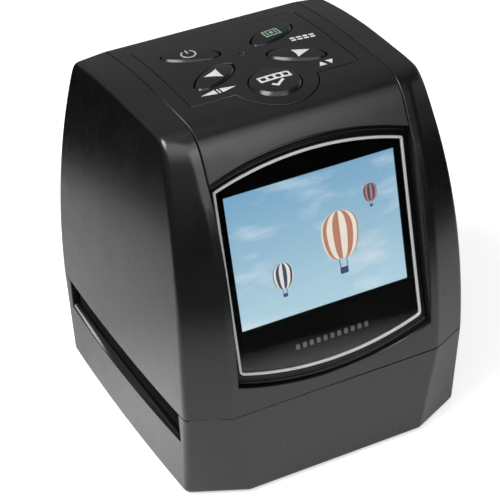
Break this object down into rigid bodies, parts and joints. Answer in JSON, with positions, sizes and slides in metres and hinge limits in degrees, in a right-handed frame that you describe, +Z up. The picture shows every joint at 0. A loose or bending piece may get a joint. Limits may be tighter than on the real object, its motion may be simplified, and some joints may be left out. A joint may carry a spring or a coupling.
{
  "type": "film negative scanner",
  "caption": "Desktop scanner for film strips and slides: upright rounded body with a sloping display window, keys on top and a slot through its base for a film holder.",
  "frame": {"origin": "on the surface that the feet stand on, under the middle of the body", "axes": "+X to the object's right as seen from the front, +Y to the back, +Z up; the window faces -Y and the film slot runs along X"},
  "size_m": [0.0864, 0.0864, 0.1045],
  "materials": {
    "housing_plastic": "moulded black plastic, satin gloss",
    "cover_plastic": "moulded black plastic, satin gloss",
    "keypad_plastic": "moulded black plastic, satin gloss",
    "key_plastic": "black plastic with printed symbols",
    "foot_rubber": "matt black rubber",
    "screw_steel": "zinc-plated",
    "board_white": "white solder resist",
    "led_white": "moulded",
    "light_box_white": "white, matt",
    "opal_plastic": "opal acrylic",
    "guide_plastic": "matt black plastic",
    "pin_plastic": "smooth natural acetal",
    "spring_steel": "drawn wire",
    "clear_glass": "coated optical glass",
    "light_pipe_clear": "clear acrylic",
    "chip_black": "moulded epoxy",
    "board_green": "green solder resist",
    "switch_plastic": "moulded",
    "plunger_plastic": "moulded",
    "bezel_plastic": "gloss black",
    "trim_silver": "satin silver",
    "smoked_pane": "smoked acrylic, polished",
    "display": null,
    "sheet_steel": "pressed sheet",
    "flex_film": "amber film"
  },
  "bodies": {
    "body": {"base_housing": "housing_plastic", "rubber_feet": "foot_rubber", "base_screws": "screw_steel", "backlight_board": "board_white", "backlight_leds": "led_white", "light_box": "light_box_white", "diffuser": "opal_plastic", "film_guide": "guide_plastic", "front_detent_spring": "spring_steel", "rear_detent_spring": "spring_steel", "upper_gate": "guide_plastic", "gate_glass": "clear_glass", "lens_hood": "guide_plastic", "lens_barrel": "guide_plastic", "lens_elements": "clear_glass", "image_sensor": "chip_black", "sensor_board": "board_green", "sensor_screws": "screw_steel", "main_housing": "housing_plastic", "top_cover": "cover_plastic", "rear_panel": "cover_plastic", "keypad_panel": "keypad_plastic", "tact_switches": "switch_plastic", "keypad_board": "board_green", "keypad_screws": "screw_steel", "status_led": "led_white", "light_pipe": "light_pipe_clear", "window_bezel": "bezel_plastic", "window_trim": "trim_silver", "window_pane": "smoked_pane", "lcd_panel": "display", "lcd_frame": "sheet_steel", "lcd_screws": "screw_steel", "main_board": "board_green", "board_screws": "screw_steel", "board_chips": "chip_black", "usb_socket": "sheet_steel", "av_jack": "switch_plastic", "card_socket": "sheet_steel", "display_flex": "flex_film", "keypad_flex": "flex_film", "sensor_flex": "flex_film"},
    "power_key": {"power_button": "key_plastic", "power_plunger": "plunger_plastic"},
    "menu_key": {"menu_button": "key_plastic", "menu_plunger": "plunger_plastic"},
    "mirror_key": {"mirror_button": "key_plastic", "mirror_plunger": "plunger_plastic"},
    "flip_key": {"flip_button": "key_plastic", "flip_plunger": "plunger_plastic"},
    "scan_key": {"scan_button": "key_plastic", "scan_plunger": "plunger_plastic"},
    "front_click": {"front_detent": "pin_plastic"},
    "rear_click": {"rear_detent": "pin_plastic"}
  },
  "joints": [
    {"name": "power_press", "type": "slide", "parent": "body", "child": "power_key", "axis": [0, 0, -1], "range_m": [0, 0.0006], "stiffness_N_per_m": 2500, "springref_m": -0.0002},
    {"name": "menu_press", "type": "slide", "parent": "body", "child": "menu_key", "axis": [0, 0, -1], "range_m": [0, 0.0006], "stiffness_N_per_m": 2500, "springref_m": -0.0002},
    {"name": "mirror_press", "type": "slide", "parent": "body", "child": "mirror_key", "axis": [0, 0, -1], "range_m": [0, 0.0006], "stiffness_N_per_m": 2500, "springref_m": -0.0002},
    {"name": "flip_press", "type": "slide", "parent": "body", "child": "flip_key", "axis": [0, 0, -1], "range_m": [0, 0.0006], "stiffness_N_per_m": 2500, "springref_m": -0.0002},
    {"name": "scan_press", "type": "slide", "parent": "body", "child": "scan_key", "axis": [0, 0, -1], "range_m": [0, 0.0006], "stiffness_N_per_m": 2500, "springref_m": -0.0002},
    {"name": "front_detent_press", "type": "slide", "parent": "body", "child": "front_click", "axis": [0, 0, -1], "range_m": [0, 0.0009], "stiffness_N_per_m": 600, "springref_m": -0.0005, "deforming": ["front_detent_spring"]},
    {"name": "rear_detent_press", "type": "slide", "parent": "body", "child": "rear_click", "axis": [0, 0, -1], "range_m": [0, 0.0009], "stiffness_N_per_m": 600, "springref_m": -0.0005, "deforming": ["rear_detent_spring"]}
  ]
}
